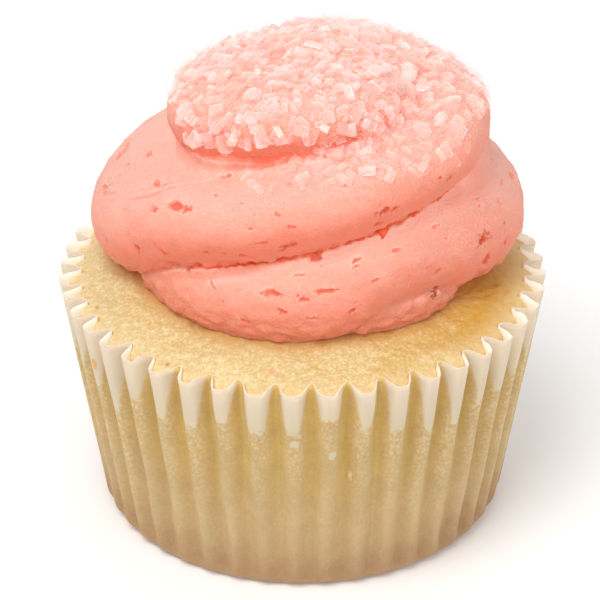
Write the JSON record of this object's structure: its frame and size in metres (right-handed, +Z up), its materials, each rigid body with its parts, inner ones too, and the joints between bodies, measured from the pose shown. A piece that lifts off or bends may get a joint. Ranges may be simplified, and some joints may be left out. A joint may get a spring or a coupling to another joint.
{
  "type": "cupcake",
  "caption": "Uncut vanilla cupcake in a fluted paper case, topped with a piped swirl of pink icing and coarse sugar.",
  "frame": {"origin": "middle of the paper case's underside, on the surface that the cupcake stands on", "axes": "+Z up along the case's axis; -Y is the side where the swirl's outer turn rises from left to right"},
  "size_m": [0.065, 0.0648, 0.0673],
  "materials": {
    "paper": "matte",
    "sponge": "matte",
    "icing": "satin",
    "sugar": "gloss"
  },
  "bodies": {
    "root": {"paper_case": "paper", "cake": "sponge", "frosting": "icing"}
  },
  "joints": []
}
